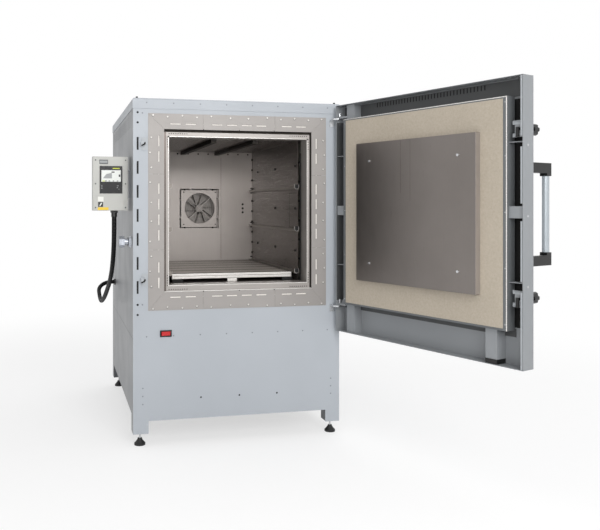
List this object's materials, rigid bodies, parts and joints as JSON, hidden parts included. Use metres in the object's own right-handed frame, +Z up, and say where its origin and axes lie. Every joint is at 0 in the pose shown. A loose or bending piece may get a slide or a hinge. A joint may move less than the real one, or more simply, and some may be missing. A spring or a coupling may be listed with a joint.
{
  "type": "chamber furnace",
  "caption": "Free-standing air-circulation chamber furnace with a side-hung insulated door, a ribbed shelf, a controller box and levelling feet.",
  "frame": {"origin": "on the floor, at the centre of the four levelling feet", "axes": "+Z up, the chamber's mouth faces -Y, +X to the right of someone facing the door"},
  "size_m": [1.9052, 2.7009, 1.842],
  "materials": {
    "panel_paint": "satin",
    "frame_paint": "satin",
    "door_paint": "satin",
    "stainless": "brushed",
    "chamber_steel": "heat-tinted",
    "dark_steel": "scaled",
    "zinc": "zinc-plated",
    "cast": "cast",
    "grip": "anodised",
    "wool": "matte",
    "board": "matte",
    "black_plastic": "matte",
    "grey_plastic": "matte",
    "display": "gloss",
    "red_plastic": "gloss",
    "hose": "matte"
  },
  "bodies": {
    "cabinet": {"base_frame": "frame_paint", "foot_pads": "black_plastic", "foot_studs": "zinc", "front_panel": "panel_paint", "left_panel": "panel_paint", "right_panel": "panel_paint", "rear_panel": "panel_paint", "roof_cover": "panel_paint", "panel_fasteners": "panel_paint", "collar_plates": "stainless", "collar_rivets": "stainless", "mouth_frame": "stainless", "insulation_sides": "wool", "insulation_top": "wool", "insulation_bottom": "wool", "insulation_rear": "wool", "insulation_mouth": "wool", "chamber_floor": "chamber_steel", "chamber_ceiling": "chamber_steel", "side_baffles": "chamber_steel", "rear_baffle": "chamber_steel", "shelf_rails": "chamber_steel", "ceiling_bars": "dark_steel", "shelf_runners": "dark_steel", "heating_elements": "dark_steel", "fan_guard": "chamber_steel", "motor_flange": "cast", "fan_motor": "cast", "exhaust_socket": "stainless", "mains_gland": "black_plastic", "thermocouple": "cast", "side_port": "zinc", "switch_bezel": "black_plastic", "controller_box": "grey_plastic", "controller_front": "grey_plastic", "controller_display": "display", "controller_bracket": "panel_paint", "hose_glands": "black_plastic", "controller_hose": "hose", "switchgear": "grey_plastic", "hinge_brackets": "zinc", "latch_catches": "zinc"},
    "door": {"door_shell": "door_paint", "door_liner": "door_paint", "door_board": "board", "door_insulation": "wool", "door_shield": "stainless", "shield_bolts": "zinc", "door_ties": "door_paint", "door_support": "door_paint", "support_pad": "black_plastic", "hinge_arms": "door_paint", "handle_brackets": "black_plastic", "handle_grip": "grip"},
    "latch_upper": {"latch_knob_upper": "black_plastic"},
    "latch_lower": {"latch_knob_lower": "black_plastic"},
    "tray": {"tray_shelf": "chamber_steel"},
    "fan": {"fan_wheel": "dark_steel"},
    "rocker": {"rocker_switch": "red_plastic"}
  },
  "joints": [
    {"name": "door_hinge", "type": "hinge", "parent": "cabinet", "child": "door", "pos_m": [0.565, -0.709, 1.2], "axis": [0, 0, 1], "range_deg": [-109.8, 25.2]},
    {"name": "latch_upper_turn", "type": "hinge", "parent": "door", "child": "latch_upper", "pos_m": [0.9437, -1.7609, 1.592], "axis": [0.9409, 0.3387, 0], "range_deg": [0, 90]},
    {"name": "latch_lower_turn", "type": "hinge", "parent": "door", "child": "latch_lower", "pos_m": [0.9437, -1.7609, 0.875], "axis": [0.9409, 0.3387, 0], "range_deg": [0, 90]},
    {"name": "tray_slide", "type": "slide", "parent": "cabinet", "child": "tray", "axis": [0, -1, 0], "range_m": [0, 0.6]},
    {"name": "fan_spin", "type": "hinge", "parent": "cabinet", "child": "fan", "pos_m": [0, 0.6, 1.246], "axis": [0, 1, 0], "continuous": true},
    {"name": "rocker_tilt", "type": "hinge", "parent": "cabinet", "child": "rocker", "pos_m": [-0.402, -0.672, 0.59], "axis": [0, 0, 1], "range_deg": [-18, 0]}
  ]
}
